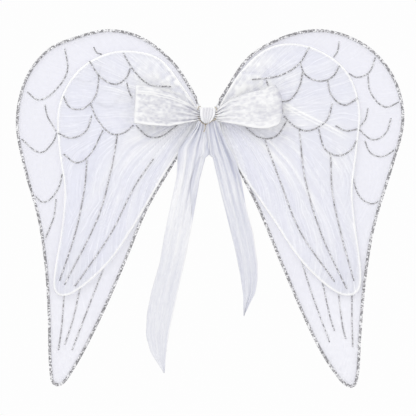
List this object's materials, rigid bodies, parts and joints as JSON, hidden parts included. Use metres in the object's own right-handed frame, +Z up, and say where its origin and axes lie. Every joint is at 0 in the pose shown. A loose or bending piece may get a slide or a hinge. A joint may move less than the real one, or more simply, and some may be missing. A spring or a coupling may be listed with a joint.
{
  "type": "fairy wings",
  "caption": "Dress-up double fairy wings: net stretched on bent wire frames, with glitter feather lines, a satin ribbon bow at the centre and arm straps behind.",
  "frame": {"origin": "middle of the back pad's outer face, which lies on the wearer's back", "axes": "+Z up, +X across the wings to the right as seen from the bow side, -Y towards the bow side, +Y towards the wearer"},
  "size_m": [0.4859, 0.0315, 0.4488],
  "materials": {
    "frame_wire": "white plastic-coated wire",
    "crimp": "plain",
    "net": "sheer white nylon stocking",
    "glitter": "silver glitter glue",
    "binding": "white cotton tape",
    "pad": "white felt",
    "ribbon": "crinkled white satin ribbon",
    "gold_thread": "metallic gold thread",
    "elastic": "white flat elastic"
  },
  "bodies": {
    "centre": {"centre_wrap": "binding", "back_pad": "pad", "bow_knot": "ribbon", "bow_left_loop": "ribbon", "bow_right_loop": "ribbon", "gold_tie": "gold_thread"},
    "left_outer_wing": {"left_outer_frame": "frame_wire", "left_wire_joiner": "crimp", "left_outer_net": "net", "left_glitter_edge": "glitter", "left_outer_glitter": "glitter"},
    "right_outer_wing": {"right_outer_frame": "frame_wire", "right_wire_joiner": "crimp", "right_outer_net": "net", "right_glitter_edge": "glitter", "right_outer_glitter": "glitter"},
    "left_inner_wing": {"left_inner_frame": "frame_wire", "left_inner_net": "net", "left_inner_glitter": "glitter"},
    "right_inner_wing": {"right_inner_frame": "frame_wire", "right_inner_net": "net", "right_inner_glitter": "glitter"},
    "left_tail": {"bow_left_tail": "ribbon", "gold_thread_end": "gold_thread"},
    "right_tail": {"bow_right_tail": "ribbon"},
    "left_strap": {"left_arm_strap": "elastic"},
    "right_strap": {"right_arm_strap": "elastic"}
  },
  "joints": [
    {"name": "left_wing_fold", "type": "hinge", "parent": "centre", "child": "left_outer_wing", "pos_m": [-0.01, -0.0053, 0], "axis": [0, 0, -1], "range_deg": [0, 45]},
    {"name": "right_wing_fold", "type": "hinge", "parent": "centre", "child": "right_outer_wing", "pos_m": [0.01, -0.0053, 0], "axis": [0, 0, 1], "range_deg": [0, 45]},
    {"name": "left_inner_spread", "type": "hinge", "parent": "left_outer_wing", "child": "left_inner_wing", "pos_m": [-0.01, -0.0053, 0], "axis": [0, 0, 1], "range_deg": [0, 5]},
    {"name": "right_inner_spread", "type": "hinge", "parent": "right_outer_wing", "child": "right_inner_wing", "pos_m": [0.01, -0.0053, 0], "axis": [0, 0, -1], "range_deg": [0, 5]},
    {"name": "left_tail_swing", "type": "hinge", "parent": "centre", "child": "left_tail", "pos_m": [-0.01, -0.0168, -0.015], "axis": [-1, 0, 0], "range_deg": [0, 60]},
    {"name": "right_tail_swing", "type": "hinge", "parent": "centre", "child": "right_tail", "pos_m": [0.01, -0.0168, -0.015], "axis": [-1, 0, 0], "range_deg": [0, 60]},
    {"name": "left_strap_swing", "type": "hinge", "parent": "left_outer_wing", "child": "left_strap", "pos_m": [-0.01, -0.0053, 0], "axis": [0, 0, -1], "range_deg": [0, 45]},
    {"name": "right_strap_swing", "type": "hinge", "parent": "right_outer_wing", "child": "right_strap", "pos_m": [0.01, -0.0053, 0], "axis": [0, 0, 1], "range_deg": [0, 45]}
  ]
}
